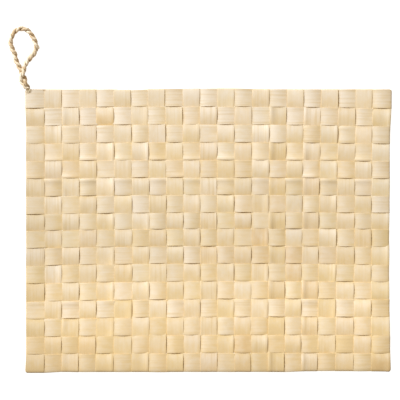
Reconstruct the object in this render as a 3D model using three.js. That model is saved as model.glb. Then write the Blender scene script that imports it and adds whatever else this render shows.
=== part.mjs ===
// Woven palm placemat with a twisted hanging loop at its top left corner.
// Millimetres, +Z up. The mat lies flat on the surface at Z = 0, with its middle over the origin.
// +X runs to the right along the long side and +Y runs away, towards the side with the loop.
import * as THREE from 'three';

// Driving dimensions of the mat
const MAT_LENGTH = 450;
const MAT_WIDTH = 350;
const COLUMNS = 21; // lengthwise strips, side by side along X
const ROWS = 16; // crosswise strips, one below the other along Y
const MAT_THICKNESS = 3.0; // over the crowns of both faces
const CROWN = 1.1; // height of a strip's crown above the line where it dives under its neighbour
const RAMP = 0.24; // share of a cell's length in which the strip climbs to its crown
const RIM_RAMP = 0.07; // the same where the strip is bent round the rim

// How far the lines between lengthwise strips stray from even spacing: + is towards +X,
// at the top side, the middle and the foot side of the mat
const COLUMN_DRIFT = [
  { line: 0, top: 0, middle: 0, foot: 0 },
  { line: 1, top: 1.1, middle: 1.9, foot: 1.5 },
  { line: 4, top: 1.3, middle: 1.9, foot: 0.2 },
  { line: 6, top: 1.0, middle: 3.2, foot: 1.7 },
  { line: 8, top: 0.5, middle: 2.6, foot: 2.1 },
  { line: 11, top: 0.1, middle: 0, foot: 0.5 },
  { line: 14, top: 0.7, middle: -0.4, foot: -1.8 },
  { line: 17, top: -0.1, middle: -3.0, foot: -4.2 },
  { line: 19, top: 0.1, middle: -1.7, foot: -2.8 },
  { line: 20, top: -0.9, middle: -2.1, foot: -2.0 },
  { line: 21, top: 0, middle: 0, foot: 0 },
];

// The same for the lines between crosswise strips: + is towards the foot side
const ROW_DRIFT = [
  { line: 0, left: 0, middle: 0, right: 0 },
  { line: 1, left: 1.5, middle: 0, right: 2.1 },
  { line: 3, left: 2.0, middle: 0.3, right: 1.9 },
  { line: 5, left: 1.8, middle: -0.1, right: 1.5 },
  { line: 7, left: 1.7, middle: -0.9, right: -0.2 },
  { line: 8, left: 0, middle: -2.4, right: -2.0 },
  { line: 10, left: -0.5, middle: -3.7, right: -1.9 },
  { line: 12, left: -0.2, middle: -3.4, right: -3.1 },
  { line: 15, left: -0.6, middle: -2.9, right: -2.4 },
  { line: 16, left: 0, middle: 0, right: 0 },
];

// How far the bent strip ends stand out of a straight rim, at the lines between strips
const LEFT_RIM = [
  { line: 0, out: 1.2 },
  { line: 1, out: 0.9 },
  { line: 2, out: 0 },
  { line: 15, out: 0 },
  { line: 16, out: 1.3 },
];
const RIGHT_RIM = [
  { line: 0, out: 2.8 },
  { line: 1, out: 2.0 },
  { line: 2, out: 0.7 },
  { line: 3, out: 0 },
  { line: 6, out: 0 },
  { line: 8, out: -0.8 },
  { line: 12, out: -0.7 },
  { line: 13, out: 0 },
  { line: 16, out: 1.1 },
];
const TOP_RIM = [
  { line: 0, out: 0 },
  { line: 5, out: 0 },
  { line: 6, out: -0.7 },
  { line: 8, out: 0.7 },
  { line: 10, out: 1.2 },
  { line: 12, out: 1.3 },
  { line: 14, out: 0.2 },
  { line: 21, out: 0.2 },
];
const FOOT_RIM = [
  { line: 0, out: 1.3 },
  { line: 1, out: 1.0 },
  { line: 2, out: 0.1 },
  { line: 15, out: 0 },
  { line: 17, out: -1.1 },
  { line: 20, out: -0.9 },
  { line: 21, out: -0.3 },
];

// Driving dimensions of the hanging loop, a cord of two plies twisted together
const CORD_DIAMETER = 4.5;
const PLY_DIAMETER = 0.6 * CORD_DIAMETER; // the plies press into each other where they meet
const CORD_LAY = 16; // length in which the two plies make one full turn
const STEPS_PER_LAY = 8;
const SECTION_SIDES = 12;
const LIE = CORD_DIAMETER / 2 + 0.05; // height of the cord's middle where it lies on the surface
const SEAT_GAP = 0.3;
const SEAT = MAT_THICKNESS + SEAT_GAP + LIE; // the same where it lies on the mat's corner

// The cord's route, chosen by hand: x to the right and y away from the mat's top left corner,
// z the height of the cord's middle. It starts on the corner, climbs the left leg, turns at the
// top of the eye, comes down the right leg, crosses over the left leg and ends on the corner.
const LOOP_ROUTE = [
  { x: 6.3, y: -4.2, z: SEAT },
  { x: 5.4, y: -0.8, z: SEAT },
  { x: 3.9, y: 2.6, z: 5.2 },
  { x: 2.2, y: 6.4, z: 4.1 },
  { x: 1.0, y: 10.4, z: 2.8 },
  { x: -0.1, y: 14.6, z: LIE },
  { x: -1.6, y: 18.6, z: LIE },
  { x: -4.1, y: 22.2, z: LIE },
  { x: -6.7, y: 25.6, z: LIE },
  { x: -9.0, y: 29.2, z: LIE },
  { x: -11.2, y: 33.9, z: LIE },
  { x: -12.5, y: 38.7, z: LIE },
  { x: -14.0, y: 43.8, z: LIE },
  { x: -16.1, y: 48.9, z: LIE },
  { x: -17.6, y: 53.4, z: LIE },
  { x: -18.3, y: 58.3, z: LIE },
  { x: -16.9, y: 64.1, z: LIE },
  { x: -13.8, y: 69.4, z: LIE },
  { x: -9.9, y: 72.8, z: LIE },
  { x: -4.3, y: 74.0, z: LIE },
  { x: 1.0, y: 72.8, z: LIE },
  { x: 5.2, y: 69.6, z: LIE },
  { x: 8.4, y: 65.0, z: LIE },
  { x: 11.0, y: 59.8, z: LIE },
  { x: 12.8, y: 54.4, z: LIE },
  { x: 13.2, y: 50.4, z: LIE },
  { x: 12.0, y: 46.5, z: LIE },
  { x: 9.6, y: 42.6, z: LIE },
  { x: 5.8, y: 38.2, z: LIE },
  { x: 2.4, y: 33.6, z: 2.8 },
  { x: 0.1, y: 29.2, z: 4.4 },
  { x: -1.6, y: 25.4, z: 6.4 },
  { x: -3.2, y: 21.6, z: 7.2 },
  { x: -4.4, y: 17.6, z: 6.8 },
  { x: -4.9, y: 13.6, z: 6.0 },
  { x: -4.5, y: 9.8, z: 5.3 },
  { x: -3.4, y: 6.0, z: 5.3 },
  { x: -1.7, y: 2.4, z: 5.5 },
  { x: 0.1, y: -1.0, z: SEAT },
  { x: 1.3, y: -4.6, z: SEAT },
];

// Below the eye the two legs are pressed together and lean on each other. The table gives the
// middle of this neck, as x and y from the same corner.
const NECK_PRESS = 0.68; // share of the legs' width that is left
const NECK_TOP = 20; // above this y the legs open out again
const NECK_OPEN = 32;
const NECK_MIDDLE = [
  { line: -20, x: 9.0 },
  { line: -4, x: 3.9 },
  { line: 3, x: 1.0 },
  { line: 9, x: -1.6 },
  { line: 15, x: -2.9 },
  { line: 21, x: -3.4 },
  { line: 90, x: -3.4 },
];

// Straight-line reading of a table between its rows
function tableValue(table, line, column) {
  const next = Math.max(1, table.findIndex((row) => row.line >= line));
  const before = table[next - 1];
  const after = table[next];
  const share = (line - before.line) / (after.line - before.line);
  return before[column] + (after[column] - before[column]) * share;
}

// A bowed line through its values at both ends and in the middle; place runs from -1 to 1
function bow(start, middle, end, place) {
  return middle + ((end - start) / 2) * place + ((start + end) / 2 - middle) * place * place;
}

// X of the line left of a lengthwise strip, where it meets the line above a crosswise strip
function lineX(column, row) {
  const x = (column / COLUMNS - 0.5) * MAT_LENGTH;
  if (column === 0) {
    return x - tableValue(LEFT_RIM, row, 'out');
  }
  if (column === COLUMNS) {
    return x + tableValue(RIGHT_RIM, row, 'out');
  }
  const drift = ['top', 'middle', 'foot'].map((place) => tableValue(COLUMN_DRIFT, column, place));
  return x + bow(...drift, (2 * row) / ROWS - 1);
}

// Y of the line above a crosswise strip, where it meets the line left of a lengthwise strip
function lineY(column, row) {
  const y = (0.5 - row / ROWS) * MAT_WIDTH;
  if (row === 0) {
    return y + tableValue(TOP_RIM, column, 'out');
  }
  if (row === ROWS) {
    return y - tableValue(FOOT_RIM, column, 'out');
  }
  const drift = ['left', 'middle', 'right'].map((place) => tableValue(ROW_DRIFT, row, place));
  return y - bow(...drift, (2 * column) / COLUMNS - 1);
}

// The points where the lines between strips cross, as crossings[row][column]
function weaveCrossings() {
  const crossings = [];
  for (let row = 0; row <= ROWS; row += 1) {
    const points = [];
    for (let column = 0; column <= COLUMNS; column += 1) {
      points.push(new THREE.Vector2(lineX(column, row), lineY(column, row)));
    }
    crossings.push(points);
  }
  return crossings;
}

// Collects faces with shared points into one closed geometry
class SolidBuilder {
  constructor() {
    this.positions = [];
    this.indices = [];
    this.known = new Map();
  }

  point(x, y, z) {
    const key = [x, y, z].map((value) => value.toFixed(5)).join(' ');
    if (!this.known.has(key)) {
      this.known.set(key, this.positions.length / 3);
      this.positions.push(x, y, z);
    }
    return this.known.get(key);
  }

  // A flat or nearly flat outline, counterclockwise seen from outside
  face(corners) {
    for (let i = 1; i < corners.length - 1; i += 1) {
      this.indices.push(corners[0], corners[i], corners[i + 1]);
    }
  }

  geometry() {
    const geometry = new THREE.BufferGeometry();
    geometry.setAttribute('position', new THREE.Float32BufferAttribute(this.positions, 3));
    geometry.setIndex(this.indices);
    geometry.computeVertexNormals();
    return geometry;
  }
}

// One cell of one face: the strip on top climbs from its start edge to a crown and down to its
// end edge, and its two free edges stand above the neighbours that dive beneath it.
// up is +1 on the upper face and -1 on the underside.
function addCell(solid, startLeft, startRight, endLeft, endRight, ramps, dive, up) {
  const crown = dive + up * CROWN;
  const side = (start, end) => {
    const at = (share, z) => {
      const spot = start.clone().lerp(end, share);
      return solid.point(spot.x, spot.y, z);
    };
    return [at(0, dive), at(ramps.start, crown), at(1 - ramps.end, crown), at(1, dive)];
  };
  const left = side(startLeft, endLeft);
  const right = side(startRight, endRight);
  const add = (corners) => solid.face(up > 0 ? corners : corners.slice().reverse());
  for (let i = 0; i < 3; i += 1) {
    add([left[i], right[i], right[i + 1], left[i + 1]]);
  }
  add([left[3], left[0], left[1], left[2]]);
  add([right[0], right[3], right[2], right[1]]);
}

function addWovenFace(solid, crossings, dive, up) {
  for (let row = 0; row < ROWS; row += 1) {
    for (let column = 0; column < COLUMNS; column += 1) {
      const topLeft = crossings[row][column];
      const topRight = crossings[row][column + 1];
      const footLeft = crossings[row + 1][column];
      const footRight = crossings[row + 1][column + 1];
      const crosswiseOnTop = (row + column) % 2 === 0;
      if (crosswiseOnTop === up > 0) {
        const ramps = {
          start: column === 0 ? RIM_RAMP : RAMP,
          end: column === COLUMNS - 1 ? RIM_RAMP : RAMP,
        };
        addCell(solid, topLeft, footLeft, topRight, footRight, ramps, dive, up);
      } else {
        const ramps = {
          start: row === ROWS - 1 ? RIM_RAMP : RAMP,
          end: row === 0 ? RIM_RAMP : RAMP,
        };
        addCell(solid, footLeft, footRight, topLeft, topRight, ramps, dive, up);
      }
    }
  }
}

// The rim's points in one loop, counterclockwise seen from above
function rimLoop(crossings) {
  const rightSide = crossings.map((points) => points[COLUMNS]).slice(1, ROWS).reverse();
  const leftSide = crossings.map((points) => points[0]).slice(1, ROWS);
  return [...crossings[ROWS], ...rightSide, ...crossings[0].slice().reverse(), ...leftSide];
}

function matGeometry(crossings) {
  const solid = new SolidBuilder();
  const upperDive = MAT_THICKNESS - CROWN;
  const lowerDive = CROWN;
  addWovenFace(solid, crossings, upperDive, 1);
  addWovenFace(solid, crossings, lowerDive, -1);
  const rim = rimLoop(crossings);
  rim.forEach((from, i) => {
    const to = rim[(i + 1) % rim.length];
    solid.face([
      solid.point(from.x, from.y, lowerDive),
      solid.point(to.x, to.y, lowerDive),
      solid.point(to.x, to.y, upperDive),
      solid.point(from.x, from.y, upperDive),
    ]);
  });
  return solid.geometry();
}

// Distance from the cord's middle to its skin: two round plies side by side, pressed together
function cordRadius(angle) {
  const ply = PLY_DIAMETER / 2;
  const offset = CORD_DIAMETER / 2 - ply;
  const across = offset * Math.sin(angle);
  return offset * Math.abs(Math.cos(angle)) + Math.sqrt(ply * ply - across * across);
}

// Draws a point of the cord towards the middle of the neck, as far as it lies in the neck
function pressNeck(spot, corner) {
  const y = spot.y - corner.y;
  const middle = corner.x + tableValue(NECK_MIDDLE, y, 'x');
  const opened = THREE.MathUtils.smoothstep(y, NECK_TOP, NECK_OPEN);
  const press = THREE.MathUtils.lerp(NECK_PRESS, 1, opened);
  return new THREE.Vector3(middle + (spot.x - middle) * press, spot.y, spot.z);
}

// The twisted cord swept along the route: the two-ply section turns once in each lay
function loopGeometry(corner) {
  const route = LOOP_ROUTE.map((spot) => new THREE.Vector3(corner.x + spot.x, corner.y + spot.y, spot.z));
  const curve = new THREE.CatmullRomCurve3(route, false, 'centripetal');
  const length = curve.getLength();
  const steps = Math.round((length / CORD_LAY) * STEPS_PER_LAY);
  const frames = curve.computeFrenetFrames(steps, false);
  const solid = new SolidBuilder();
  const rings = [];
  for (let step = 0; step <= steps; step += 1) {
    const middle = curve.getPointAt(step / steps);
    const twist = (-2 * Math.PI * length * step) / (steps * CORD_LAY);
    const ring = [];
    for (let side = 0; side < SECTION_SIDES; side += 1) {
      const angle = (2 * Math.PI * side) / SECTION_SIDES;
      const reach = cordRadius(angle);
      const spot = middle.clone();
      spot.addScaledVector(frames.normals[step], reach * Math.cos(angle + twist));
      spot.addScaledVector(frames.binormals[step], reach * Math.sin(angle + twist));
      ring.push(solid.point(...pressNeck(spot, corner)));
    }
    rings.push(ring);
  }
  for (let step = 0; step < steps; step += 1) {
    for (let side = 0; side < SECTION_SIDES; side += 1) {
      const next = (side + 1) % SECTION_SIDES;
      solid.face([rings[step][side], rings[step][next], rings[step + 1][next], rings[step + 1][side]]);
    }
  }
  const first = pressNeck(curve.getPointAt(0), corner);
  const last = pressNeck(curve.getPointAt(1), corner);
  addEnd(solid, solid.point(first.x, first.y, first.z), rings[0].slice().reverse());
  addEnd(solid, solid.point(last.x, last.y, last.z), rings[steps]);
  return solid.geometry();
}

function addEnd(solid, centre, ring) {
  ring.forEach((corner, i) => solid.face([centre, corner, ring[(i + 1) % ring.length]]));
}

const palm = new THREE.MeshStandardMaterial({ color: 0xe6d3ad, roughness: 0.62, metalness: 0 });
const twistedPalm = new THREE.MeshStandardMaterial({ color: 0xcfae7d, roughness: 0.72, metalness: 0 });

const crossings = weaveCrossings();
const mat = new THREE.Mesh(matGeometry(crossings), palm);
mat.name = 'mat';

const topLeftCorner = new THREE.Vector2(-MAT_LENGTH / 2, MAT_WIDTH / 2);
const hangingLoop = new THREE.Mesh(loopGeometry(topLeftCorner), twistedPalm);
hangingLoop.name = 'hanging_loop';

// Everything is shifted together so that the mat's uneven outline has its middle over the origin
mat.geometry.computeBoundingBox();
const middle = mat.geometry.boundingBox.getCenter(new THREE.Vector3());
const placemat = new THREE.Group();
placemat.add(mat, hangingLoop);
placemat.children.forEach((piece) => piece.position.set(-middle.x, -middle.y, 0));

export default placemat;
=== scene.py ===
"""Woven palm placemat with a twisted hanging loop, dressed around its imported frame.

Broad strips of folded palm leaf are woven over one and under one, bent round the rim and tucked
back in. A loop of two-ply palm cord is fixed at the top left corner. Sizes are in millimetres and
become metres where an object is made. A place along a strip, u, is counted in cells, which are the
squares where strips cross, from the left or the top rim.
"""
import math

import bpy
import numpy as np
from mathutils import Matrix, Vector


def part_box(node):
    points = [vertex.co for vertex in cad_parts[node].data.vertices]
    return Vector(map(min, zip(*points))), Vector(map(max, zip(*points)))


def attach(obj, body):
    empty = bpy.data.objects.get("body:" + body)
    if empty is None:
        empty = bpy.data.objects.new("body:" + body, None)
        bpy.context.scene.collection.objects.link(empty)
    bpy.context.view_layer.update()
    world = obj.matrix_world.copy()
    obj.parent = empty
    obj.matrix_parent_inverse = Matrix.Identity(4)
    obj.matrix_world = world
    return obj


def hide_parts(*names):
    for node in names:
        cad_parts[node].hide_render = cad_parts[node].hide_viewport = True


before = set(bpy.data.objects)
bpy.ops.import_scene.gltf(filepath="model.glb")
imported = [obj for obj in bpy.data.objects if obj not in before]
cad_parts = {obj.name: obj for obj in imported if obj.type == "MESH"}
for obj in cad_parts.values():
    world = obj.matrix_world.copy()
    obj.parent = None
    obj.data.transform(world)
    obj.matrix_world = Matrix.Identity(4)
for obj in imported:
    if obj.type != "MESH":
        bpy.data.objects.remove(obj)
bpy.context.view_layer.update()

MM = 0.001
FULL_TURN = 2 * math.pi

# Driving dimensions of the mat, as in the model
MAT_LENGTH = 450.0
MAT_WIDTH = 350.0
COLUMNS = 21
ROWS = 16
MAT_THICKNESS = 3.0

# How far the lines between lengthwise strips stray from even spacing, + towards +X
COLUMN_DRIFT = {
    "line": (0, 1, 4, 6, 8, 11, 14, 17, 19, 20, 21),
    "top": (0, 1.9, 1.5, 1.3, 0.5, 0.6, 1.2, 0.5, 0.3, -0.6, 0),
    "middle": (0, 2.4, 2.0, 3.2, 2.6, 0.4, 0.1, -2.5, -1.3, -1.9, 0),
    "foot": (0, 1.8, 0.4, 2.1, 2.3, 1.0, -1.3, -4.1, -2.8, -2.0, 0),
}
# The same for the lines between crosswise strips, + towards the foot side
ROW_DRIFT = {
    "line": (0, 1, 3, 5, 7, 8, 10, 12, 15, 16),
    "left": (0, 2.3, 2.3, 1.8, 1.9, 0.3, -0.2, 0.3, -0.4, 0),
    "middle": (0, 0.2, 0.4, 0.2, -0.6, -2.3, -3.4, -3.0, -2.2, 0),
    "right": (0, 2.9, 2.4, 1.9, 0.2, -1.8, -1.4, -2.8, -1.9, 0),
}
# How far the bent strip ends stand out of a straight rim
LEFT_RIM = {"line": (0, 1, 2, 15, 16), "out": (1.2, 0.9, 0, 0, 1.3)}
RIGHT_RIM = {
    "line": (0, 1, 2, 3, 6, 8, 12, 13, 16),
    "out": (2.8, 2.0, 0.7, 0, 0, -0.8, -0.7, 0, 1.1),
}
TOP_RIM = {"line": (0, 5, 6, 8, 10, 12, 14, 21), "out": (0, 0, -0.7, 0.7, 1.2, 1.3, 0.2, 0.2)}
FOOT_RIM = {"line": (0, 1, 2, 15, 17, 20, 21), "out": (1.3, 1.0, 0.1, 0, -1.1, -0.9, -0.3)}

# Leaf strips: each arch goes up or down by a share of the full swing, and a strip changes sides a
# little above the mat's middle
STRIP_THICKNESS = 0.5
MIDDLE = MAT_THICKNESS / 2
SWING = (MAT_THICKNESS - STRIP_THICKNESS) / 2
SWING_SHARE = (0.56, 1.0)
CROSSING_LIFT = {"mean": 0.14, "spread": 0.16}
STEPS_PER_CELL = 12
LOWEST = 0.02

# Strip ends: an upper strip droops by a share of its height towards the rim, turns down a little in
# from it and is tucked in under the mat, where its tip lifts. A lower strip just stops at the rim.
RIM_INSET = 0.6
RIM_DROOP = 0.65
LOWER_STOP = 0.9
BEND_ANGLES = range(-70, 90, 20)
TUCK_LENGTH = 24.0
TUCK_POINTS = 9
TIP_LIFT = 0.9
TIP_LIFT_FROM = 0.6
CORNER_ROUND = 3.0

# A strip's section: round folded edges, a low ridge beside each, the lap of the fold at a share of the
# half width, whose tone is full from a step of LAP_SHOWS, and a face that is a little hollow
EDGE_RADIUS = STRIP_THICKNESS / 2
EDGE_ANGLES = (-90, -30, 30, 75)
EDGE_RIDGE = 0.13
RIDGE_IN = 0.7
RIDGE_SHARE = 0.8
RIDGE_WIDTH = 1.6
FLAT_UNDER = 1.5
LAP_PLACE = 0.62
LAP_EDGE = 0.012
LAP_SHOWS = 0.12
HOLLOW = 0.02
HOLLOW_END = 0.6

# Random differences: the range for a whole strip, and the size of the slow changes along it. They are
# millimetres for the gap beside a strip and the step of its lap, shares of EDGE_RIDGE for its ridges,
# and a slope for its roll to one side. The changes are waves of these lengths, in cells, each with a
# share of the size.
GAP = {"range": (0.0, 0.3), "wander": 0.35}
LAP = {"range": (-0.2, 0.12), "wander": 0.12}
RIDGE = {"range": (-1.1, 0.6), "wander": 1.2}
ROLL_WANDER = 0.022
WAVE_LENGTHS = (2.3, 3.7, 7.1)
WAVE_SHARE = (0.4, 1.0)

# Hanging loop: a turn of its plies takes CORD_LAY, and its middle is LIE high where it lies on the
# table.
CORD_DIAMETER = 4.5
CORD_LAY = 16.0
LIE = CORD_DIAMETER / 2 + 0.05

# The cord's route: x to the right and y upwards in the photograph, both from the mat's top left
# corner, and z the height of the cord's middle. It follows the model's route round the eye, and in
# the neck below the eye its two legs are twisted round each other.
LOOP_ROUTE = (
    (3.7, -1.4, 1.3),
    (1.8, 0.3, 3.2),
    (-0.2, 2.5, 4.4),
    (-0.4, 5.8, 5.3),
    (-0.4, 9.2, 4.5),
    (-1.6, 12.8, 3.0),
    (-4.0, 16.8, 2.4),
    (-5.5, 21.4, 2.4),
    (-6.9, 25.2, LIE),
    (-9.0, 29.2, LIE),
    (-11.2, 33.9, LIE),
    (-12.5, 38.7, LIE),
    (-14.0, 43.8, LIE),
    (-16.1, 48.9, LIE),
    (-17.6, 53.4, LIE),
    (-18.3, 58.3, LIE),
    (-16.9, 64.1, LIE),
    (-13.8, 69.4, LIE),
    (-9.9, 72.8, LIE),
    (-4.3, 74.0, LIE),
    (1.0, 72.8, LIE),
    (5.2, 69.6, LIE),
    (8.4, 65.0, LIE),
    (11.0, 59.8, LIE),
    (12.8, 54.4, LIE),
    (13.2, 50.4, LIE),
    (12.0, 46.5, LIE),
    (9.6, 42.6, LIE),
    (5.8, 38.2, LIE),
    (1.8, 33.2, LIE),
    (-0.8, 28.6, 3.2),
    (-1.5, 24.8, 4.6),
    (-2.0, 20.0, 6.1),
    (-4.2, 16.2, 6.2),
    (-4.8, 12.4, 5.0),
    (-4.0, 8.2, 3.3),
    (-1.6, 5.4, 2.6),
    (1.6, 3.6, 3.1),
    (3.9, 1.6, 3.2),
    (5.2, -1.2, 1.3),
)
ROUTE_STEP = 0.5
CURVE_STEPS = 24

# Along the cord: its thickness, where it was twisted tightly or has opened, and how much darker it is
# painted above 0, partly its own tone and partly painted shade where one leg of the neck lies in the
# other's shadow
CORD_CHANGES = {
    "place": (0, 4, 8, 12, 18, 25, 60, 95, 120, 133, 142, 150, 156, 163, 170, 178, 184),
    "size": (
        0.8, 1.0, 1.16, 1.18, 1.15, 1.14, 1.12, 1.09, 1.1, 1.3, 1.24, 1.06, 1.08, 1.14, 1.1, 1.05, 0.8,
    ),
    "tone_and_shade": (0, 0, 0.5, 1.4, 1.2, 0.3, 0.3, 0.2, 0, 0, -0.3, 0, -0.5, -1, -1.2, -0.6, 0),
}

# The cord's plies: their size, the folds and swellings of the leaf in shares of the radius, and how
# they grow thin, draw together and go down where the cord's ends go into the mat
PLIES = 2
PLY_SEED = 700
PLY_RADIUS = 1.7
PLY_OFFSET = 1.2
PLY_SIDES = 18
LEAF_TURN = 7.0
BROAD_FOLDS = {"count": 3, "height": 0.08}
FINE_FOLDS = {"count": 5, "height": 0.06, "drift": 0.4}
SWELLINGS = ({"height": 0.07, "stretch": 2.9}, {"height": 0.06, "stretch": 1.3})
ANY_PHASE = (0, 6)
END_TAPER = 4.0
END_RADIUS = 0.35
END_OFFSET = 0.3
END_DROP = 0.8
PLY_LOWEST = 0.03

# Painted shade on the cord's flanks: its surface is browned where it faces up by less than this, from 1
# straight up to 0 level
FLANK_TOP = 0.75

# Loose leaf fibres on the cord, as x, y and z from the same corner. Flat is their thickness as a
# share of their width, and tip how far they have the colour of the cord's leaf ends.
FIBRES = (
    ((-14.2, 48.4, 3.2), (-12.0, 46.2, 3.6), (-10.4, 43.0, 3.0), (-9.9, 41.0, 2.2)),
    ((7.8, 65.0, 3.6), (6.4, 66.0, 3.2), (5.2, 66.8, 2.4), (4.4, 67.4, 2.0)),
    ((9.4, 67.4, 3.2), (12.0, 63.9, 3.2), (14.0, 60.2, 3.0), (15.2, 56.8, 2.6)),
    ((14.6, 55.4, 3.2), (16.2, 52.6, 3.0), (17.0, 50.6, 2.6), (15.4, 47.6, 2.8)),
)
FIBRE = {"width": 1.1, "flat": 0.6, "tip": 0.0}
# The cord's leaf ends, which come out of it and lie down on the corner
LEAF_TIPS = (
    ((1.0, 0.8, 5.0), (1.7, -0.8, 4.5), (2.1, -2.6, 3.9), (2.3, -5.0, 3.4)),
    ((2.8, 0.4, 4.8), (3.5, -1.2, 4.3), (3.9, -3.0, 3.8), (4.1, -5.2, 3.4)),
    ((4.6, 0.4, 4.3), (5.4, -1.0, 4.0), (5.9, -2.4, 3.6), (6.1, -4.2, 3.4)),
)
LEAF_TIP = {"width": 2.2, "flat": 0.25, "tip": 1.0}
FIBRE_SIDES = 8
FIBRE_TAPER = 0.6
FIBRE_END = 0.04

# Where the photograph shows the mat, in its 400 by 400 pixels
PHOTO_SIZE = 400
PHOTO_LEFT = 25.57
PHOTO_RIGHT = 390.17
PHOTO_TOP = 88.82
# Camera: its height, the width of its sensor and how far it sees
CAMERA_HEIGHT = 2500.0
CAMERA_SENSOR = 36.0
CAMERA_REACH = 50000.0

# Key light, with its angles in degrees, light of the room and floor
SUN_AZIMUTH = 45
SUN_ELEVATION = 35
SUN_SPREAD = 26
SUN_POWER = 4.6
SUN_COLOUR = (0.90, 1.0, 1.12)
ROOM_COLOUR = (1.0, 0.84, 0.62, 1.0)
ROOM_POWER = 0.42
FLOOR_REACH = 4000.0
FLOOR_HEIGHT = -0.1
FLOOR_GREY = (0.30, 0.30, 0.30, 1.0)
FLOOR_GLOW = 0.95
WHITE = (1.0, 1.0, 1.0, 1.0)

# The mat's middle and its top left corner in the frame; its solid's box reaches to the strip ends that
# stand out farthest
mat_low, mat_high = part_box("mat")
SHIFT_X = mat_low.x / MM + MAT_LENGTH / 2 + max(LEFT_RIM["out"])
SHIFT_Y = mat_high.y / MM - MAT_WIDTH / 2 - max(TOP_RIM["out"])
CORNER_X = SHIFT_X - MAT_LENGTH / 2
CORNER_Y = SHIFT_Y + MAT_WIDTH / 2

# How warm the leaf is, from cream at 0 to straw at 1: in the middle of the mat, what the foot adds and
# the top takes away, what the right adds and the left takes away, most at the top, and what lengthwise
# strips, the left rim and the edges of all strips add
WARMTH = 0.48
WARMER_DOWN = 0.21
WARMER_RIGHT = 0.05
WARMER_LENGTHWISE = 0.05
LEFT_WARMTH = {"reach": 55.0, "strength": 0.12}
EDGE_WARMTH = {"reach": 5.5, "strength": 0.12}

# How light the leaf is from the top rim, at -1, to the foot rim, at 1, and how amber it grows there
TONE = {
    "down": (-1, -0.8, -0.45, -0.15, 0.17, 0.42, 0.6, 0.8, 1),
    "light": (-0.03, 0.01, -0.015, -0.06, -0.045, 0.055, 0.08, 0.025, -0.07),
    "amber": (0, 0, 0, 0, 0.02, 0.07, 0.10, 0.12, 0.18),
}
TOP_RIGHT_SHADE = 0.06

# Shade towards the rims, where the leaf is bent and rolled away from the light
RIM_SHADE = (
    {"rim": "left", "reach": 55.0, "strength": 0.08},
    {"rim": "left", "reach": 4.0, "strength": 0.05},
    {"rim": "right", "reach": 20.0, "strength": 0.12},
    {"rim": "right", "reach": 1.8, "strength": 0.18},
    {"rim": "foot", "reach": 8.0, "strength": 0.06},
    {"rim": "foot", "reach": 2.4, "strength": 0.42},
)

# Painted light and shade along the arch that a strip makes over another: how much warmer and lighter
# the leaf is painted from its left or top end, at 0, which faces the key light, to its other end, which
# falls away from it and is painted warmer as shade. Under another strip it runs the other way, so that
# nothing jumps.
ARCH_PAINTED_LIGHT = {
    "share": (0, 0.09, 0.16, 0.22, 0.3, 0.5, 0.9, 1),
    "warm": (0, -0.05, -0.11, -0.16, -0.16, -0.03, 0.22, 0.03),
    "light": (0, 0.01, 0.015, 0, -0.01, -0.01, 0.03, 0.04),
}

# Painted shade in the seams, in warm brown: from this height down, where a strip dives under its
# neighbour, and at its folded edges
DIVE_TOP = 2.1
DIVE_DEPTH = 0.8
FOLDED_EDGE_SHADE = {"reach": 0.65, "strength": 0.5}

# Random looks: the mean and spread for a whole strip, and the size of the slow changes along it with
# their wave lengths in cells. Hue is in degrees. Where a strip is lighter it is also less warm.
OWN_WARMTH = {"mean": 0.0, "spread": 0.08, "changes": ((0.32, (4.9, 7.7, 13.1)), (0.12, (1.9, 2.9)))}
OWN_LIGHT = {"mean": 0.0, "spread": 0.010, "changes": ((0.03, (4.7, 8.9)), (0.04, (1.7, 2.3)))}
OWN_HUE = {"mean": 0.0, "spread": 0.3, "changes": ((0.9, (3.1, 6.7)),)}
OWN_STREAKS = {"mean": 0.35, "spread": 0.3, "changes": ((0.7, (2.3, 4.1)),)}
LIGHT_COOLS = 0.6

# Where a strip's grain starts in the patterns of the leaf, and how far apart the strips lie there
GRAIN_START = (0, 900)
GRAIN_APART = 37.0

# The two directions of strips, with their amber patches: which strip, counted from 0 at the left
# or the top, the place along it and half the length, both in cells, and the strength
DIRECTIONS = (
    {
        "name": "crosswise_strips",
        "lengthwise": False,
        "seed": 100,
        "amber": (
            {"strip": 9, "place": 14.6, "reach": 2.6, "strength": 0.5},
            {"strip": 8, "place": 15.4, "reach": 2.0, "strength": 0.4},
            {"strip": 6, "place": 14.2, "reach": 1.6, "strength": 0.4},
            {"strip": 14, "place": 12.5, "reach": 1.6, "strength": 0.5},
        ),
    },
    {
        "name": "lengthwise_strips",
        "lengthwise": True,
        "seed": 300,
        "amber": (
            {"strip": 4, "place": 1.75, "reach": 0.5, "strength": 0.55},
            {"strip": 13, "place": 8.4, "reach": 0.9, "strength": 0.8},
            {"strip": 20, "place": 15.7, "reach": 0.6, "strength": 0.9},
            {"strip": 15, "place": 10.5, "reach": 1.0, "strength": 0.5},
        ),
    },
)

# Small brown marks of painted shade on the leaf, seen in the photograph: the shadow in a notch of the
# top rim, the shade at the left rim's fold by the corner and a broad shade at the foot's right corner.
# Each gives millimetres from the top left corner, and one over the reach of the mark to the right and
# upwards. They fade between these shares of the reach.
SHADE_MARKS = (
    {"at": (23.2, -1.4), "squeeze": (0.40, 0.42), "strength": 0.65},
    {"at": (0.9, -3.4), "squeeze": (0.60, 0.20), "strength": 0.45},
    {"at": (449.0, -349.0), "squeeze": (0.045, 0.050), "strength": 0.16},
)
MARK_SPAN = (0.3, 1.0)

# Colours of the leaf
CREAM = (0.790, 0.662, 0.505, 1.0)
STRAW = (0.708, 0.514, 0.258, 1.0)
AMBER = (0.64, 0.40, 0.17, 1.0)
# Warm brown of the painted shade in the seams
SEAM_SHADE_BROWN = (0.72, 0.47, 0.16, 1.0)
RIB = (0.60, 0.43, 0.22, 1.0)
# Brown of the painted shade marks
MARK_SHADE_BROWN = (0.36, 0.22, 0.09, 1.0)

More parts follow.
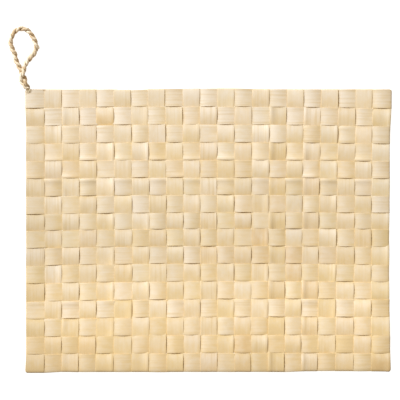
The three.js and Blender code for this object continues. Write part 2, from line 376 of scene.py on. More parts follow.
# Patterns of the leaf: how fast each changes along the strip, across it and from strip to strip, and
# how much finer detail it has
LEAF_PATTERNS = {
    "streaks": {"scale": (0.012, 0.42, 1.0), "detail": 3.0},
    "veins": {"scale": (0.03, 2.1, 1.0), "detail": 2.0},
    "blotch": {"scale": (0.10, 0.16, 1.0), "detail": 2.0},
    "crinkle": {"scale": (0.45, 0.5, 1.0), "detail": 2.0},
    "speckle": {"scale": (0.55, 1.3, 1.0), "detail": 1.0},
}
NOISE_ROUGHNESS = 0.55
# What each pattern adds to the warmth, light and relief, and what the lap of the fold adds
LEAF_WARMTH = {"streaks": 0.60, "blotch": 0.75, "crinkle": 0.45, "speckle": 0.50}
LEAF_LIGHT = {"crinkle": 0.08, "speckle": 0.10}
LEAF_RELIEF = {"crinkle": 0.3, "streaks": 0.4, "veins": 0.4}
LAP_WARMTH = -0.12
LAP_LIGHT = 0.05
# The values of a pattern between which a look comes in, and how strong it gets
RIB_SPAN = (0.50, 0.66)
RIB_STRENGTH = 0.38
VEIN_SPAN = (0.35, 0.65)
VEIN_STRENGTH = 0.12
AMBER_SPAN = (0.3, 0.7)
AMBER_COVER = (0.5, 1.2)
AMBER_STRENGTH = 0.6
# How strong the painted shade in the seams gets
SEAM_SHADE_STRENGTH = 0.6
ROUGH_SPAN = (0.3, 0.7)
LEAF_ROUGHNESS = (0.46, 0.60)
LEAF_BUMP = {"Strength": 0.28, "Distance": 0.3 * MM}
# The hue that changes nothing, and one degree of it
SAME_HUE = 0.5
HUE_DEGREE = 1 / 360

# Colours and patterns of the cord
CORD_STRAW = (0.93, 0.81, 0.62, 1.0)
CORD_BROWN = (0.62, 0.44, 0.25, 1.0)
FIBRE_BROWN = (0.42, 0.25, 0.10, 1.0)
# Brown of the painted shade on the cord's flanks
FLANK_SHADE_BROWN = (0.50, 0.34, 0.18, 1.0)
# Brown of the painted shade in the grooves between the plies
GROOVE_SHADE_BROWN = (0.26, 0.15, 0.06, 1.0)
TIP_STRAW = (0.84, 0.71, 0.50, 1.0)
CORD_FIBRES = {"scale": (0.12, 1.1, 1.0), "detail": 3.0}
CORD_PATCHES = {"scale": (0.09, 0.10, 1.0), "detail": 2.0}
PLY_GRAIN_APART = 9.0
FIBRE_GRAIN_APART = 5.0
PATCH_SPAN = (0.42, 0.62)
CORD_DARKER = 0.10
FIBRE_SPAN = (0.42, 0.68)
FIBRE_STRENGTH = 0.5
FLANK_SHADE_STRENGTH = 0.7
GROOVE_SPAN = (0.45, 0.85)
FIBRE_DEPTH = 0.9
TIP_SPAN = (0.35, 0.6)
TIP_COVER = (1.6, 0.7)
CORD_BUMP = {"Strength": 0.5, "Distance": 0.4 * MM}
CORD_ROUGHNESS = 0.62


# Meshes

def make_mesh_object(name, points, faces, attributes):
    """A smooth mesh object from points in millimetres, with named values on its points."""
    mesh = bpy.data.meshes.new(name)
    mesh.from_pydata((np.asarray(points) * MM).tolist(), [], faces)
    mesh.shade_smooth()
    for label, values in attributes.items():
        values = np.asarray(values, dtype=np.float32)
        if values.ndim == 1:
            mesh.attributes.new(label, "FLOAT", "POINT").data.foreach_set("value", values)
        else:
            mesh.attributes.new(label, "FLOAT_VECTOR", "POINT").data.foreach_set("vector", values.ravel())
    mesh.update()
    piece = bpy.data.objects.new(name, mesh)
    bpy.context.scene.collection.objects.link(piece)
    return piece


def tube_faces(rings, around, first=0):
    """Faces of a closed tube of rings of points, with both ends capped."""
    faces = []
    for ring in range(rings - 1):
        for side in range(around):
            here = first + ring * around + side
            beside = first + ring * around + (side + 1) % around
            faces.append((here, beside, beside + around, here + around))
    faces.append(tuple(first + side for side in reversed(range(around))))
    faces.append(tuple(first + (rings - 1) * around + side for side in range(around)))
    return faces


def signed_volume(points, faces):
    """Positive where the faces point out."""
    total = 0.0
    for face in faces:
        corner = points[face[0]]
        for i in range(1, len(face) - 1):
            total += float(np.dot(corner, np.cross(points[face[i]], points[face[i + 1]])))
    return total


def facing_out(points, faces):
    """The same faces, turned over if they point in."""
    if signed_volume(points, faces) < 0:
        return [tuple(reversed(face)) for face in faces]
    return faces


# Where the strips run

def read(table, place, column, by="line"):
    """A column of a table at a place between its rows."""
    return np.interp(place, table[by], table[column])


def bow(start, middle, end, place):
    """A bowed line through its values at both ends and in the middle; place runs from -1 to 1."""
    return middle + (end - start) / 2 * place + ((start + end) / 2 - middle) * place**2


def line_x(column, row):
    """X at a place counted in strips from the left rim and from the top rim."""
    drift = [read(COLUMN_DRIFT, column, part) for part in ("top", "middle", "foot")]
    x = (column / COLUMNS - 0.5) * MAT_LENGTH + bow(*drift, 2 * row / ROWS - 1)
    x = x - (read(LEFT_RIM, row, "out") - RIM_INSET) * np.clip(1 - column, 0, 1)
    x = x + (read(RIGHT_RIM, row, "out") - RIM_INSET) * np.clip(column - COLUMNS + 1, 0, 1)
    return x + SHIFT_X


def line_y(column, row):
    """Y at the same place."""
    drift = [read(ROW_DRIFT, row, part) for part in ("left", "middle", "right")]
    y = (0.5 - row / ROWS) * MAT_WIDTH - bow(*drift, 2 * column / COLUMNS - 1)
    y = y + (read(TOP_RIM, column, "out") - RIM_INSET) * np.clip(1 - row, 0, 1)
    y = y - (read(FOOT_RIM, column, "out") - RIM_INSET) * np.clip(row - ROWS + 1, 0, 1)
    return y + SHIFT_Y


def strip_place(index, lengthwise, u):
    """How far along its run a strip is at u: X, or -Y where it is lengthwise."""
    return -line_y(index + 0.5, u) if lengthwise else line_x(u, index + 0.5)


def strip_edges(index, lengthwise, u):
    """Both edges of a strip at u, the lower one first: Y, or X where it is lengthwise."""
    if lengthwise:
        return line_x(index, u), line_x(index + 1, u)
    return line_y(u, index + 1), line_y(u, index)


# Random differences

def wander(rng, u, size, wave_lengths=WAVE_LENGTHS):
    """A smooth random curve along a strip, which strays from 0 by up to about this size."""
    curve = 0
    for wave_length in wave_lengths:
        height = size * rng.uniform(*WAVE_SHARE) / len(wave_lengths)
        phase = rng.uniform(0, FULL_TURN)
        curve = curve + height * np.sin(FULL_TURN * u / wave_length + phase)
    return curve


def own_size(rng, u, size):
    """A strip's own size, drawn from its range, with its slow changes along the strip."""
    return rng.uniform(*size["range"]) + wander(rng, u, size["wander"])


def own_look(rng, u, look):
    """A strip's own look, drawn around its mean, with its slow changes along the strip."""
    value = rng.normal(look["mean"], look["spread"])
    for size, wave_lengths in look["changes"]:
        value = value + wander(rng, u, size, wave_lengths)
    return value


# Leaf strips

def folded_edge(side):
    """Round edge of the section on one side, from the underside up."""
    points = []
    for angle in EDGE_ANGLES:
        sine, cosine = math.sin(math.radians(angle)), math.cos(math.radians(angle))
        points.append((side, EDGE_RADIUS * (1 - cosine), EDGE_RADIUS * sine, 0, max(0, sine)))
    return points


def strip_section():
    """One closed section of a folded leaf.

    Each point gives a share of the half width, what is taken off it, a height from the strip's
    middle, and how far the point follows the lap and the ridges: the lap of the fold makes a low
    step on some strips, and the folded edges stand a little proud or low.
    """
    top = EDGE_RADIUS
    points = folded_edge(1)
    points += [
        (1, RIDGE_IN, top, 1, RIDGE_SHARE),
        (1, RIDGE_WIDTH, top, 1, 0),
        (LAP_PLACE + LAP_EDGE, 0, top, 1, 0),
        (LAP_PLACE - LAP_EDGE, 0, top, 0, 0),
        (0, 0, top - HOLLOW, 0, 0),
        (-HOLLOW_END, 0, top, 0, 0),
        (-1, RIDGE_WIDTH, top, 0, 0),
        (-1, RIDGE_IN, top, 0, RIDGE_SHARE),
    ]
    points += reversed(folded_edge(-1))
    points += [(-1, FLAT_UNDER, -top, 0, 0), (0, 0, HOLLOW - top, 0, 0), (1, FLAT_UNDER, -top, 0, 0)]
    return np.array(points)


SECTION = strip_section()


def rim_bend(height):
    """A strip's end from its tucked tip round to its top, and how far in from the rim the bend goes."""
    radius = (height - EDGE_RADIUS) / 2
    centre = EDGE_RADIUS + radius
    path = []
    for share in np.linspace(1, 0, TUCK_POINTS):
        lift = TIP_LIFT * max(0.0, (share - TIP_LIFT_FROM) / (1 - TIP_LIFT_FROM)) ** 2
        path.append((centre + TUCK_LENGTH * share, EDGE_RADIUS + lift))
    for angle in BEND_ANGLES:
        turn = math.radians(angle)
        path.append((centre - radius * math.cos(turn), centre + radius * math.sin(turn)))
    return path, centre


def strip_path(index, cells, starts_over, lengthwise, rng):
    """A strip's middle line, from end to end: places along its run, heights and the same places as u."""
    swings = SWING * rng.uniform(*SWING_SHARE, cells)
    over = (np.arange(cells) % 2 == 0) == starts_over
    lifts = np.where(over, swings, -swings)
    u = np.linspace(0, cells, cells * STEPS_PER_CELL + 1)
    cell = np.minimum(u.astype(int), cells - 1)
    share = u - cell
    # An arch between a sine and a parabola
    arch = 0.5 * np.sin(math.pi * share) + 2 * share * (1 - share)
    crossings = rng.normal(CROSSING_LIFT["mean"], CROSSING_LIFT["spread"], cells + 1)
    z = MIDDLE + lifts[cell] * arch + np.interp(u, range(cells + 1), crossings) * (1 - arch)
    # The outer half of each end's arch doesn't come back to the middle
    for end, outer in ((0, share < 0.5), (cells - 1, share > 0.5)):
        at_rim = (cell == end) & outer
        drop = RIM_DROOP if lifts[end] > 0 else 0.0
        z[at_rim] = MIDDLE + lifts[end] * (1 - drop * (2 * share[at_rim] - 1) ** 2)
    run = strip_place(index, lengthwise, u)
    keep_from, keep_to = run[0] + LOWER_STOP, run[-1] - LOWER_STOP
    head, tail = [], []
    if lifts[0] > 0:
        bend, reach = rim_bend(z[0])
        head = [(run[0] + inward, height) for inward, height in bend]
        keep_from = run[0] + reach
    if lifts[-1] > 0:
        bend, reach = rim_bend(z[-1])
        tail = [(run[-1] - inward, height) for inward, height in reversed(bend)]
        keep_to = run[-1] - reach
    path = head + [spot for spot in zip(run, z) if keep_from < spot[0] < keep_to] + tail
    places, heights = np.array(path).T
    return places, heights, np.interp(places, run, u)


def corner_inset(places, first, last):
    """How far an outer edge stands back towards the mat's rounded corners."""
    away = np.clip(np.minimum(places - first, last - places), 0, CORNER_ROUND)
    return CORNER_ROUND - np.sqrt(CORNER_ROUND**2 - (CORNER_ROUND - away) ** 2)


def build_strip(index, cells, starts_over, lengthwise, rng):
    """One folded strip: points, ring count and the values that its leaf pattern is made from."""
    places, heights, u = strip_path(index, cells, starts_over, lengthwise, rng)
    low, high = strip_edges(index, lengthwise, u)
    low = low + own_size(rng, u, GAP)
    high = high - own_size(rng, u, GAP)
    # The mat's own sides stand back towards its rounded corners
    first, last = (strip_place(index, lengthwise, end) for end in (0, cells))
    inset = corner_inset(places, first, last)
    lowest, highest = (0, COLUMNS - 1) if lengthwise else (ROWS - 1, 0)
    if index == lowest:
        low = low + inset
    if index == highest:
        high = high - inset
    centre, half = (low + high) / 2, (high - low) / 2

    roll = wander(rng, u, ROLL_WANDER)
    lap = np.maximum(0, own_size(rng, u, LAP))
    side = 1 if rng.uniform() < 0.5 else -1
    ridge = EDGE_RIDGE * own_size(rng, u, RIDGE)
    run, rise = np.gradient(places), np.gradient(heights)
    step = np.hypot(run, rise)
    along = np.concatenate([[0], np.cumsum(np.hypot(np.diff(places), np.diff(heights)))])
    of_half, taken_off, level, of_lap, of_ridge = SECTION.T
    across = side * (of_half * half[:, None] - np.sign(of_half) * taken_off)
    height = level + of_lap * lap[:, None] + of_ridge * ridge[:, None] + roll[:, None] * across
    lengthways = places[:, None] + (-rise / step)[:, None] * height
    crossways = centre[:, None] + across
    upwards = np.maximum(heights[:, None] + (run / step)[:, None] * height, LOWEST)
    spots = [crossways, -lengthways, upwards] if lengthwise else [lengthways, crossways, upwards]
    return {
        "points": np.stack(spots, axis=2).reshape(-1, 3),
        "rings": len(places),
        "along": np.repeat(along, len(SECTION)),
        "across": across.ravel(),
        "edge": (half[:, None] - np.abs(across)).ravel(),
        "lap": (of_lap * np.minimum(1, lap / LAP_SHOWS)[:, None]).ravel(),
        "u": np.repeat(u, len(SECTION)),
    }


# Looks along the strips

def rim_distance(points, rim):
    """How far these points lie in from the left, right or foot rim."""
    x, y = points[:, 0], points[:, 1]
    row = ROWS * (CORNER_Y - y) / MAT_WIDTH
    column = COLUMNS * (x - CORNER_X) / MAT_LENGTH
    if rim == "left":
        return x - line_x(0, row)
    if rim == "right":
        return line_x(COLUMNS, row) - x
    return y - line_y(column, ROWS)


def fading(distance, change):
    """A change that is at its full strength at distance 0 and gone at its reach."""
    return change["strength"] * np.clip(1 - distance / change["reach"], 0, 1)


def leaf_looks(strip, index, direction, starts_over, rng):
    """The values from which the leaf material makes one strip's pattern."""
    points, u = strip["points"], strip["u"]
    right = points[:, 0] / (MAT_LENGTH / 2)
    down = -points[:, 1] / (MAT_WIDTH / 2)
    share = u % 1
    over = (u.astype(int) % 2 == 0) == starts_over
    along_arch = np.where(over, share, 1 - share)

    start = rng.uniform(*GRAIN_START)
    grain = [strip["along"] + start, strip["across"], np.full(len(u), index * GRAIN_APART)]
    warm = WARMTH + WARMER_DOWN * down + WARMER_RIGHT * right * (1 - down)
    warm += WARMER_LENGTHWISE if direction["lengthwise"] else 0
    # The painted light and shade along the arch go into the warmth here and into the light below
    warm += read(ARCH_PAINTED_LIGHT, along_arch, "warm", "share") + fading(strip["edge"], EDGE_WARMTH)
    warm += own_look(rng, u, OWN_WARMTH) + fading(rim_distance(points, "left"), LEFT_WARMTH)
    own_light = own_look(rng, u, OWN_LIGHT)
    light = 1 + read(TONE, down, "light", "down") + own_light + read(ARCH_PAINTED_LIGHT, along_arch, "light", "share")
    light -= TOP_RIGHT_SHADE * np.clip(right, 0, 1) * np.clip(-down, 0, 1)
    rim_shade = sum(fading(rim_distance(points, shade["rim"]), shade) for shade in RIM_SHADE)
    amber = read(TONE, down, "amber", "down")
    for patch in direction["amber"]:
        if patch["strip"] == index:
            amber = amber + patch["strength"] * np.exp(-(((u - patch["place"]) / patch["reach"]) ** 2))
    # Painted shade in the seams: low down, where the strip dives, and at its folded edges
    seam_shade = np.clip((DIVE_TOP - points[:, 2]) / DIVE_DEPTH, 0, 1) + fading(strip["edge"], FOLDED_EDGE_SHADE)
    return {
        "grain": np.stack(grain, axis=1),
        "place": points - (CORNER_X, CORNER_Y, 0),
        "lap": strip["lap"],
        "warm": warm - LIGHT_COOLS * own_light,
        "light": light * (1 - rim_shade),
        "hue": own_look(rng, u, OWN_HUE),
        "streak": np.maximum(0, own_look(rng, u, OWN_STREAKS)),
        "amber": amber,
        "seam_shade": seam_shade,
    }


def weave_piece(direction):
    """All strips of one direction, joined in one mesh."""
    lengthwise = direction["lengthwise"]
    count, cells = (COLUMNS, ROWS) if lengthwise else (ROWS, COLUMNS)
    points, faces, looks = [], [], []
    total = 0
    for index in range(count):
        rng = np.random.default_rng(direction["seed"] + index)
        starts_over = (index % 2 == 1) == lengthwise
        strip = build_strip(index, cells, starts_over, lengthwise, rng)
        new_faces = facing_out(strip["points"], tube_faces(strip["rings"], len(SECTION)))
        faces += [tuple(total + corner for corner in face) for face in new_faces]
        points.append(strip["points"])
        looks.append(leaf_looks(strip, index, direction, starts_over, rng))
        total += len(strip["points"])
    attributes = {label: np.concatenate([look[label] for look in looks]) for label in looks[0]}
    return make_mesh_object(direction["name"], np.concatenate(points), faces, attributes)


# Hanging loop

def smooth_route(spots):
    """A centripetal curve through spots, which are given from the mat's corner.

    Returns evenly spaced points of the curve and their places along it.
    """
    spots = np.array(spots, dtype=float) + (CORNER_X, CORNER_Y, 0)
    gaps = np.linalg.norm(np.diff(spots, axis=0), axis=1) ** 0.5
    slopes = np.diff(spots, axis=0) / gaps[:, None]
    wide = (spots[2:] - spots[:-2]) / (gaps[1:] + gaps[:-1])[:, None]
    tangents = np.concatenate([slopes[:1], slopes[:-1] + slopes[1:] - wide, slopes[-1:]])
    # How much the two ends of a stretch and the directions there count at t, from 0 to 1 along it
    t = np.linspace(0, 1, CURVE_STEPS, endpoint=False)[:, None]
    weights = [2 * t**3 - 3 * t**2 + 1, t**3 - 2 * t**2 + t, 3 * t**2 - 2 * t**3, t**3 - t**2]
    fine = []
    for i, gap in enumerate(gaps):
        parts = (spots[i], gap * tangents[i], spots[i + 1], gap * tangents[i + 1])
        fine.append(sum(weight * part for weight, part in zip(weights, parts)))
    fine = np.concatenate(fine + [spots[-1:]])
    travelled = np.concatenate([[0], np.cumsum(np.linalg.norm(np.diff(fine, axis=0), axis=1))])
    places = np.linspace(0, travelled[-1], int(travelled[-1] / ROUTE_STEP) + 1)
    return np.stack([np.interp(places, travelled, fine[:, axis]) for axis in range(3)], axis=1), places


def carried_frames(line):
    """Two directions square to a line that turn with it and don't twist about it."""
    tangents = np.gradient(line, axis=0)
    tangents /= np.linalg.norm(tangents, axis=1)[:, None]
    normal = np.cross(tangents[0], (0, 0, 1))
    normals = []
    for tangent in tangents:
        normal = normal - np.dot(normal, tangent) * tangent
        normal = normal / np.linalg.norm(normal)
        normals.append(normal)
    normals = np.array(normals)
    return normals, np.cross(tangents, normals)


def smoothstep(value, low, high):
    """From 0 at low to 1 at high, without a kink."""
    share = np.clip((value - low) / (high - low), 0, 1)
    return share * share * (3 - 2 * share)


def build_ply(middle, places, ply):
    """One twisted leaf ply wound round the cord's middle line, tapered where its ends are tucked in.

    Returns its points, the looks on them for the cord material and the number of points in a ring.
    """
    rng = np.random.default_rng(PLY_SEED + ply)
    start = ply * FULL_TURN / PLIES
    normals, binormals = carried_frames(middle)
    turn = (-FULL_TURN * places / CORD_LAY + start)[:, None]
    full = smoothstep(np.minimum(places, places[-1] - places), 0, END_TAPER)
    size = read(CORD_CHANGES, places, "size", "place")
    reach = (PLY_OFFSET * size * (END_OFFSET + (1 - END_OFFSET) * full))[:, None]
    line = middle + reach * (np.cos(turn) * normals + np.sin(turn) * binormals)
    line[:, 2] -= END_DROP * (1 - full)
    side_a, side_b = carried_frames(line)
    angle = np.linspace(0, FULL_TURN, PLY_SIDES, endpoint=False)[None]
    along = places[:, None]
    leaf = angle + FULL_TURN * along / LEAF_TURN
    uneven = BROAD_FOLDS["height"] * np.sin(BROAD_FOLDS["count"] * leaf + rng.uniform(*ANY_PHASE))
    drift = FINE_FOLDS["drift"] * along
    uneven = uneven + FINE_FOLDS["height"] * np.sin(FINE_FOLDS["count"] * leaf + drift)
    for swelling in SWELLINGS:
        phase = rng.uniform(*ANY_PHASE)
        uneven = uneven + swelling["height"] * np.sin(along / swelling["stretch"] + phase)
    radius = PLY_RADIUS * (1 + uneven) * (size * (END_RADIUS + (1 - END_RADIUS) * full))[:, None]
    outward = np.cos(angle)[..., None] * side_a[:, None] + np.sin(angle)[..., None] * side_b[:, None]
    points = line[:, None] + radius[..., None] * outward
    depth = np.linalg.norm(points - middle[:, None], axis=2) / (PLY_OFFSET + PLY_RADIUS)
    depth = np.maximum(depth, 1 - full[:, None])
    points[..., 2] = np.maximum(points[..., 2], PLY_LOWEST)
    apart = np.full(leaf.shape, start * PLY_GRAIN_APART)
    grain = [np.broadcast_to(along, leaf.shape), leaf * PLY_RADIUS, apart]
    looks = {
        "grain": np.stack(grain, axis=2).reshape(-1, 3),
        "depth": depth.ravel(),
        "tip": np.repeat(1 - full, PLY_SIDES),
        "tone_and_shade": np.repeat(read(CORD_CHANGES, places, "tone_and_shade", "place"), PLY_SIDES),
        # Painted shade on the flanks: how far a point faces sideways or down
        "flank_shade": np.clip(1 - outward[..., 2].ravel() / FLANK_TOP, 0, 1),
    }
    return points.reshape(-1, 3), looks, PLY_SIDES


def build_fibre(route, number, kind):
    """A thin loose fibre or leaf end, pointed at both ends; it returns what build_ply returns."""
    line, places = smooth_route(route)
    side_a, side_b = carried_frames(line)
    angle = np.linspace(0, FULL_TURN, FIBRE_SIDES, endpoint=False)[None]
    share = np.clip(places / places[-1], FIBRE_END, 1 - FIBRE_END)
    half = kind["width"] / 2 * np.sin(math.pi * share) ** FIBRE_TAPER
    wide_side = np.cos(angle)[..., None] * side_a[:, None]
    flat_side = kind["flat"] * np.sin(angle)[..., None] * side_b[:, None]
    points = line[:, None] + half[:, None, None] * (wide_side + flat_side)
    along = np.broadcast_to(places[:, None], (len(places), FIBRE_SIDES))
    grain = [along, half[:, None] * np.cos(angle), np.full(along.shape, number * FIBRE_GRAIN_APART)]
    looks = {
        "grain": np.stack(grain, axis=2).reshape(-1, 3),
        "depth": np.full(along.size, FIBRE_DEPTH),
        "tip": np.full(along.size, kind["tip"]),
        "tone_and_shade": np.zeros(along.size),
        "flank_shade": np.zeros(along.size),
    }
    return points.reshape(-1, 3), looks, FIBRE_SIDES


def hanging_loop():
    """The cord with its loose fibres and leaf ends in one mesh, and the cord's middle line."""
    middle, places = smooth_route(LOOP_ROUTE)
    parts = [build_ply(middle, places, ply) for ply in range(PLIES)]
    parts += [build_fibre(route, number, FIBRE) for number, route in enumerate(FIBRES)]
    parts += [build_fibre(route, number, LEAF_TIP) for number, route in enumerate(LEAF_TIPS)]
    faces = []
    total = 0
    for points, _, sides in parts:
        faces += tube_faces(len(points) // sides, sides, total)
        total += len(points)
    points = np.concatenate([part[0] for part in parts])
    attributes = {label: np.concatenate([part[1][label] for part in parts]) for label in parts[0][1]}
    return make_mesh_object("palm_cord_loop", points, facing_out(points, faces), attributes), middle


# Materials

# Sockets that a mix node uses when it mixes colours
MIX_FACTOR = 0
MIX_FROM = 6
MIX_TO = 7
MIX_RESULT = 2


class Shader:
    """A material whose nodes are added by short calls. An input is a value or another node's output."""

    def __init__(self, name):
        self.material = bpy.data.materials.new(name)
        self.material.use_nodes = True
        self.tree = self.material.node_tree
        self.tree.nodes.clear()

    def add(self, kind, inputs=None, **settings):
        node = self.tree.nodes.new(kind)
        for key, value in settings.items():
            setattr(node, key, value)
        for key, value in (inputs or {}).items():
            if isinstance(value, bpy.types.NodeSocket):
                self.tree.links.new(value, node.inputs[key])
            else:
                node.inputs[key].default_value = value
        return node

    def attribute(self, name, output="Fac"):
        return self.add("ShaderNodeAttribute", attribute_name=name).outputs[output]

    def math(self, operation, a, b=0.0, c=0.0, clamp=False):
        node = self.add("ShaderNodeMath", {0: a, 1: b, 2: c}, operation=operation, use_clamp=clamp)
        return node.outputs[0]

    def vector_math(self, operation, a, b=(0, 0, 0)):
        return self.add("ShaderNodeVectorMath", {0: a, 1: b}, operation=operation)

    def noise(self, vector, pattern):
        mapped = self.add("ShaderNodeMapping", {"Vector": vector, "Scale": pattern["scale"]}).outputs[0]
        look = {"Scale": 1.0, "Detail": pattern["detail"], "Roughness": NOISE_ROUGHNESS}
        return self.add("ShaderNodeTexNoise", {"Vector": mapped, **look}).outputs["Fac"]

    def ramp(self, value, span, to=(0.0, 1.0)):
        """Goes from one number to the other while the value goes through the span."""
        ends = {"From Min": span[0], "From Max": span[1], "To Min": to[0], "To Max": to[1]}
        return self.add("ShaderNodeMapRange", {"Value": value, **ends}, clamp=True).outputs["Result"]

    def sway(self, value, patterns, amounts):
        """The value moved up and down by patterns, by each pattern's distance from its mean."""
        for label, amount in amounts.items():
            value = self.math("MULTIPLY_ADD", self.math("SUBTRACT", patterns[label], 0.5), amount, value)
        return value

    def mix(self, factor, a, b):
        inputs = {MIX_FACTOR: factor, MIX_FROM: a, MIX_TO: b}
        return self.add("ShaderNodeMix", inputs, data_type="RGBA").outputs[MIX_RESULT]

    def bump(self, height, settings):
        return self.add("ShaderNodeBump", {**settings, "Height": height}).outputs[0]

    def finish(self, **inputs):
        shader = self.add("ShaderNodeBsdfPrincipled", {k.replace("_", " "): v for k, v in inputs.items()})
        self.add("ShaderNodeOutputMaterial", {"Surface": shader.outputs[0]})
        return self.material


def leaf_material(name):
    """Dried palm leaf: warm and pale stretches, ribs, veins, amber patches, painted shade in seams and
    marks.
    """
    leaf = Shader(name)
    grain = leaf.attribute("grain", "Vector")
    place = leaf.attribute("place", "Vector")
    patterns = {label: leaf.noise(grain, pattern) for label, pattern in LEAF_PATTERNS.items()}
    warm = leaf.math("MULTIPLY_ADD", leaf.attribute("lap"), LAP_WARMTH, leaf.attribute("warm"))
    colour = leaf.mix(leaf.sway(warm, patterns, LEAF_WARMTH), CREAM, STRAW)
    ribs = leaf.ramp(patterns["streaks"], RIB_SPAN)
    ribs = leaf.math("MULTIPLY", ribs, leaf.attribute("streak"), clamp=True)
    colour = leaf.mix(leaf.math("MULTIPLY", ribs, RIB_STRENGTH), colour, RIB)
    colour = leaf.mix(leaf.ramp(patterns["veins"], VEIN_SPAN, (VEIN_STRENGTH, 0.0)), colour, RIB)
    patchy = leaf.ramp(patterns["blotch"], AMBER_SPAN, AMBER_COVER)
    amber = leaf.math("MULTIPLY", leaf.attribute("amber"), patchy, clamp=True)
    colour = leaf.mix(leaf.math("MULTIPLY", amber, AMBER_STRENGTH), colour, AMBER)
    # Painted shade, warm brown, in the seams where strips dive and at their folded edges
    seam_shade = leaf.math("MULTIPLY", leaf.attribute("seam_shade"), SEAM_SHADE_STRENGTH, clamp=True)
    colour = leaf.mix(seam_shade, colour, SEAM_SHADE_BROWN)
    # Painted shade marks: a notch's shadow at the top rim, shade at the left rim by the corner and at the
    # foot's right corner
    for mark in SHADE_MARKS:
        away = leaf.vector_math("SUBTRACT", place, (*mark["at"], 0)).outputs["Vector"]
        away = leaf.vector_math("MULTIPLY", away, (*mark["squeeze"], 0)).outputs["Vector"]
        away = leaf.vector_math("LENGTH", away).outputs["Value"]
        colour = leaf.mix(leaf.ramp(away, MARK_SPAN, (mark["strength"], 0.0)), colour, MARK_SHADE_BROWN)
    light = leaf.math("MULTIPLY_ADD", leaf.attribute("lap"), LAP_LIGHT, leaf.attribute("light"))
    light = leaf.sway(light, patterns, LEAF_LIGHT)
    hue = leaf.math("MULTIPLY_ADD", leaf.attribute("hue"), HUE_DEGREE, SAME_HUE)
    colour = leaf.add("ShaderNodeHueSaturation", {"Hue": hue, "Value": light, "Color": colour}).outputs[0]
    relief = 0.0
    for label, height in LEAF_RELIEF.items():
        relief = leaf.math("MULTIPLY_ADD", patterns[label], height, relief)
    rough = leaf.ramp(patterns["streaks"], ROUGH_SPAN, LEAF_ROUGHNESS)
    return leaf.finish(Base_Color=colour, Roughness=rough, Normal=leaf.bump(relief, LEAF_BUMP))


def cord_material(name):
    """Twisted palm cord: straw crests, brown patches, painted shade on flanks and grooves, fibres along
    each ply.
    """
    cord = Shader(name)
    grain = cord.attribute("grain", "Vector")
    fibres = cord.noise(grain, CORD_FIBRES)
    patches = cord.noise(grain, CORD_PATCHES)
    # The cord's own tone and the painted shade in the neck shift its brown patches
    patches = cord.math("MULTIPLY_ADD", cord.attribute("tone_and_shade"), CORD_DARKER, patches)
    colour = cord.mix(cord.ramp(patches, PATCH_SPAN), CORD_STRAW, CORD_BROWN)
    colour = cord.mix(cord.ramp(fibres, FIBRE_SPAN, (0.0, FIBRE_STRENGTH)), colour, FIBRE_BROWN)
    # Painted shade on the flanks, which face sideways or down
    flank_shade = cord.math("MULTIPLY", cord.attribute("flank_shade"), FLANK_SHADE_STRENGTH)
    colour = cord.mix(flank_shade, colour, FLANK_SHADE_BROWN)
    # Painted shade in the grooves between the plies, near the cord's middle line
    groove_shade = cord.ramp(cord.attribute("depth"), GROOVE_SPAN, (1.0, 0.0))
    colour = cord.mix(groove_shade, colour, GROOVE_SHADE_BROWN)
    tip = cord.math("MULTIPLY", cord.attribute("tip"), cord.ramp(fibres, TIP_SPAN, TIP_COVER), clamp=True)
    colour = cord.mix(tip, colour, TIP_STRAW)
    return cord.finish(Base_Color=colour, Roughness=CORD_ROUGHNESS, Normal=cord.bump(fibres, CORD_BUMP))


# Camera, floor and light

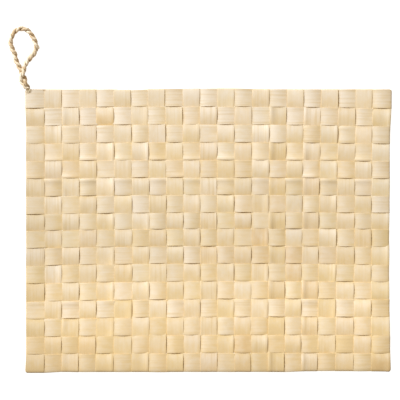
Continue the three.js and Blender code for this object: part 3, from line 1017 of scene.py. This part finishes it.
def add_camera():
    """Straight above the mat at the photograph's framing, so high that perspective hardly shows."""
    mm_per_pixel = MAT_LENGTH / (PHOTO_RIGHT - PHOTO_LEFT)
    data = bpy.data.cameras.new("camera")
    data.sensor_width = CAMERA_SENSOR
    data.lens = data.sensor_width * CAMERA_HEIGHT / (PHOTO_SIZE * mm_per_pixel)
    data.clip_end = CAMERA_REACH * MM
    camera = bpy.data.objects.new("camera", data)
    x = CORNER_X + (PHOTO_SIZE / 2 - PHOTO_LEFT) * mm_per_pixel
    y = CORNER_Y - (PHOTO_SIZE / 2 - PHOTO_TOP) * mm_per_pixel
    camera.location = Vector((x, y, CAMERA_HEIGHT)) * MM
    bpy.context.scene.collection.objects.link(camera)
    bpy.context.scene.camera = camera


def add_floor():
    """A pale floor that glows as a light box does."""
    mesh = bpy.data.meshes.new("floor")
    corners = ((-1, -1), (1, -1), (1, 1), (-1, 1))
    points = [(x * FLOOR_REACH * MM, y * FLOOR_REACH * MM, FLOOR_HEIGHT * MM) for x, y in corners]
    mesh.from_pydata(points, [], [(0, 1, 2, 3)])
    floor = bpy.data.objects.new("floor", mesh)
    bpy.context.scene.collection.objects.link(floor)
    glow = {"Emission_Color": WHITE, "Emission_Strength": FLOOR_GLOW}
    mesh.materials.append(Shader("floor").finish(Base_Color=FLOOR_GREY, Roughness=1.0, **glow))


def add_light():
    """A soft, slightly cool key light from the upper left and a weaker warm light from all round."""
    sun = bpy.data.lights.new("key", "SUN")
    sun.energy = SUN_POWER
    sun.color = SUN_COLOUR
    sun.angle = math.radians(SUN_SPREAD)
    key = bpy.data.objects.new("key", sun)
    azimuth, elevation = math.radians(SUN_AZIMUTH), math.radians(SUN_ELEVATION)
    level = math.cos(elevation)
    towards = Vector((math.sin(azimuth) * level, -math.cos(azimuth) * level, -math.sin(elevation)))
    key.rotation_mode = "QUATERNION"
    key.rotation_quaternion = towards.to_track_quat("-Z", "Y")
    bpy.context.scene.collection.objects.link(key)

    room = bpy.data.worlds.new("room")
    room.use_nodes = True
    background = room.node_tree.nodes["Background"]
    background.inputs["Color"].default_value = ROOM_COLOUR
    background.inputs["Strength"].default_value = ROOM_POWER
    bpy.context.scene.world = room
    bpy.context.scene.view_settings.view_transform = "Standard"


# Assembly

add_camera()

loop, loop_middle = hanging_loop()
loop.data.materials.append(cord_material("palm_cord"))
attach(loop, "root")
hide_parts("hanging_loop")

leaf = leaf_material("palm_leaf")
for direction in DIRECTIONS:
    strips = weave_piece(direction)
    strips.data.materials.append(leaf)
    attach(strips, "root")
    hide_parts("mat")

add_floor()
add_light()
